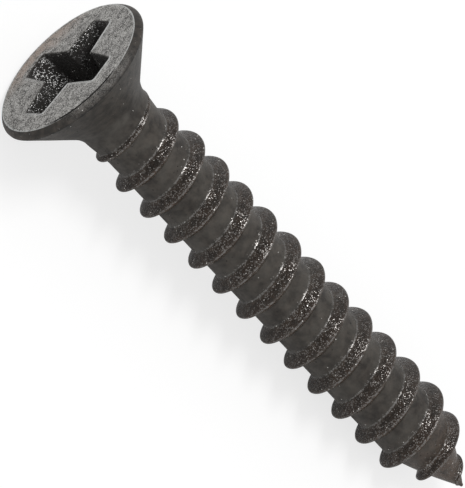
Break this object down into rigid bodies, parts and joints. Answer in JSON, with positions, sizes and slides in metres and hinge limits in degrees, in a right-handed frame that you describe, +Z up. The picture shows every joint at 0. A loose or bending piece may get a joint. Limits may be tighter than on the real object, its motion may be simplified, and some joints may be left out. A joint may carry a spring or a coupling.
{
  "type": "sheet metal screw",
  "caption": "Black countersunk sheet metal screw with a cross recess, coarse spaced thread to the head and a gimlet point.",
  "frame": {"origin": "on the floor under the middle of the lying screw", "axes": "+Z up, +Y from the head towards the point, +X to the right seen from the head end"},
  "size_m": [0.0106, 0.0386, 0.0105],
  "materials": {
    "screw": "dark phosphate and oil coating on steel, matt with fine bright crystals"
  },
  "bodies": {
    "root": {"screw": "screw"}
  },
  "joints": []
}
